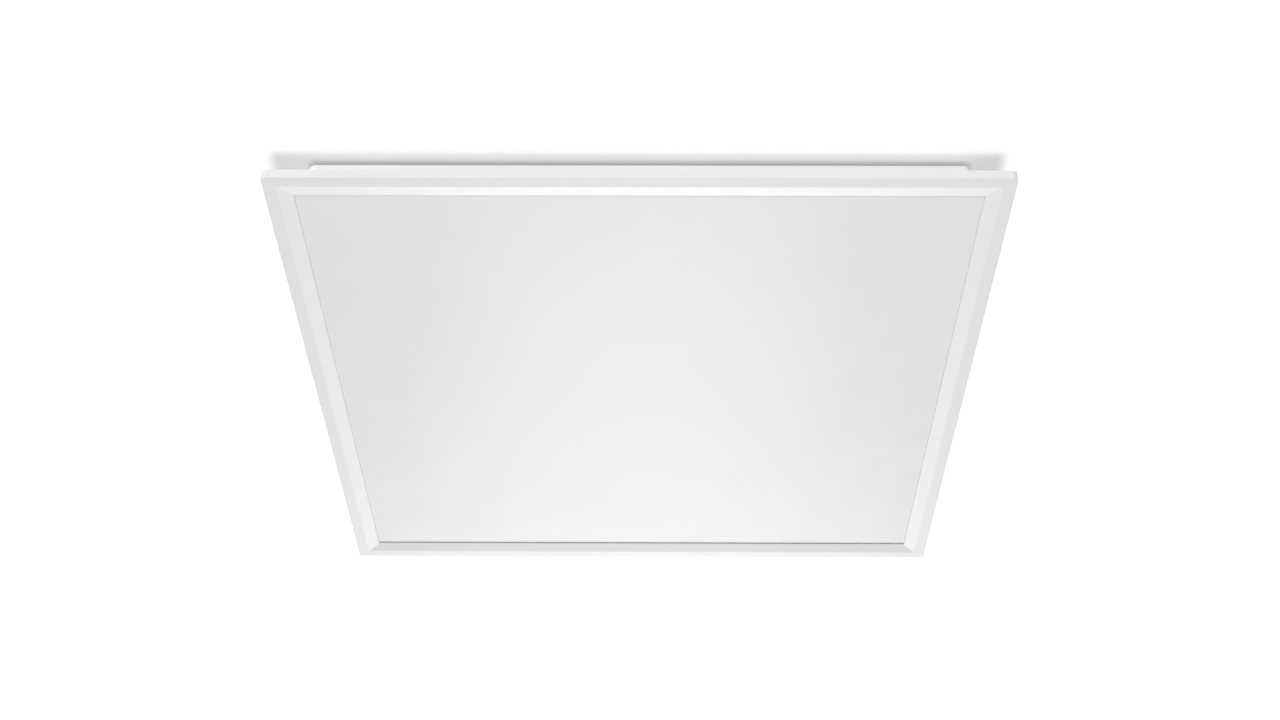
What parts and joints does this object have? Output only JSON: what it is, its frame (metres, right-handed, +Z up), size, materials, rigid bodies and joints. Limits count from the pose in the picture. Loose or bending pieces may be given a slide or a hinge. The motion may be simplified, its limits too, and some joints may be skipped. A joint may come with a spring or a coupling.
{
  "type": "led panel light",
  "caption": "Square recessed ceiling LED panel: white stepped frame, opal diffuser, pressed steel back tray and a back-mounted driver with a hinged wiring bay.",
  "frame": {"origin": "centre of the square on the plane of the frame's flat rim, which is the lowest face", "axes": "+Z up into the ceiling void, so the light leaves along -Z; +X towards the driver's wiring bay; +Y towards the lid's hinge"},
  "size_m": [0.597, 0.597, 0.0692],
  "materials": {
    "frame_white": "satin white moulding",
    "opal_diffuser": "smooth opal sheet, slightly glossy",
    "painted_steel": "white powder coat",
    "reflector_white": "white reflective film",
    "board_white": "white solder mask",
    "zinc_steel": "bright zinc plate",
    "white_plastic": "fine matt moulding",
    "grey_plastic": "fine matt moulding",
    "terminal_plastic": "smooth",
    "button_orange": "smooth",
    "black_plastic": "matt",
    "pcb_green": "solder mask",
    "copper_winding": "enamelled copper wire",
    "ferrite": "matt sintered",
    "capacitor_sleeve": "shrink sleeve",
    "aluminium": "mill finish",
    "rubber": "matt",
    "wire_white": "PVC insulation",
    "wire_earth": "PVC insulation, green and yellow",
    "label_silver": "blank foil label"
  },
  "bodies": {
    "panel": {"bulk_capacitor": "capacitor_sleeve", "clamp_screw_1": "zinc_steel", "clamp_screw_2": "zinc_steel", "clip_rivet_1": "aluminium", "clip_rivet_2": "aluminium", "clip_rivet_3": "aluminium", "clip_rivet_4": "aluminium", "cord_clamp": "white_plastic", "cover_screw_1": "zinc_steel", "cover_screw_2": "zinc_steel", "cover_screw_3": "zinc_steel", "cover_screw_4": "zinc_steel", "dc_lead": "wire_white", "diffuser_plate": "opal_diffuser", "driver_carrier": "white_plastic", "driver_cover": "painted_steel", "driver_pcb": "pcb_green", "earth_lead": "wire_earth", "earth_screw": "zinc_steel", "front_frame": "frame_white", "heat_sink": "aluminium", "hinge_pin": "zinc_steel", "input_choke": "copper_winding", "jumper_lead_1": "wire_white", "jumper_lead_2": "wire_white", "jumper_lead_3": "wire_white", "jumper_lead_4": "wire_white", "jumper_lead_5": "wire_white", "lead_grommet": "rubber", "led_board_1": "board_white", "led_board_2": "board_white", "led_board_3": "board_white", "led_board_4": "board_white", "led_board_5": "board_white", "led_board_6": "board_white", "mains_lead": "wire_white", "output_capacitor": "capacitor_sleeve", "rating_label": "label_silver", "rear_tray": "painted_steel", "reflector_foil": "reflector_white", "rim_screw_1": "zinc_steel", "rim_screw_2": "zinc_steel", "rim_screw_3": "zinc_steel", "rim_screw_4": "zinc_steel", "rim_screw_5": "zinc_steel", "rim_screw_6": "zinc_steel", "rim_screw_7": "zinc_steel", "rim_screw_8": "zinc_steel", "terminal_block": "terminal_plastic", "transformer": "ferrite"},
    "wiring_lid": {"wiring_lid": "grey_plastic"},
    "selector_slider": {"selector_slider": "black_plastic"},
    "release_button_1": {"release_button_1": "button_orange"},
    "release_button_2": {"release_button_2": "button_orange"},
    "release_button_3": {"release_button_3": "button_orange"},
    "grid_clip_1": {"grid_clip_1": "zinc_steel"},
    "grid_clip_2": {"grid_clip_2": "zinc_steel"},
    "grid_clip_3": {"grid_clip_3": "zinc_steel"},
    "grid_clip_4": {"grid_clip_4": "zinc_steel"}
  },
  "joints": [
    {"name": "wiring_lid_hinge", "type": "hinge", "parent": "panel", "child": "wiring_lid", "pos_m": [0.093, 0.0418, 0.066], "axis": [-1, 0, 0], "range_deg": [0, 110]},
    {"name": "release_button_1_press", "type": "slide", "parent": "panel", "child": "release_button_1", "axis": [0, 0, -1], "range_m": [0, 0.002], "stiffness_N_per_m": 1500},
    {"name": "release_button_2_press", "type": "slide", "parent": "panel", "child": "release_button_2", "axis": [0, 0, -1], "range_m": [0, 0.002], "stiffness_N_per_m": 1500},
    {"name": "release_button_3_press", "type": "slide", "parent": "panel", "child": "release_button_3", "axis": [0, 0, -1], "range_m": [0, 0.002], "stiffness_N_per_m": 1500},
    {"name": "selector_slide", "type": "slide", "parent": "panel", "child": "selector_slider", "axis": [1, 0, 0], "range_m": [-0.003, 0.003]},
    {"name": "grid_clip_1_swing", "type": "hinge", "parent": "panel", "child": "grid_clip_1", "pos_m": [-0.2, -0.25, 0.0422], "axis": [0, 0, -1], "range_deg": [0, 90]},
    {"name": "grid_clip_2_swing", "type": "hinge", "parent": "panel", "child": "grid_clip_2", "pos_m": [0.2, -0.25, 0.0422], "axis": [0, 0, 1], "range_deg": [0, 90]},
    {"name": "grid_clip_3_swing", "type": "hinge", "parent": "panel", "child": "grid_clip_3", "pos_m": [0.2, 0.25, 0.0422], "axis": [0, 0, -1], "range_deg": [0, 90]},
    {"name": "grid_clip_4_swing", "type": "hinge", "parent": "panel", "child": "grid_clip_4", "pos_m": [-0.2, 0.25, 0.0422], "axis": [0, 0, 1], "range_deg": [0, 90]}
  ]
}
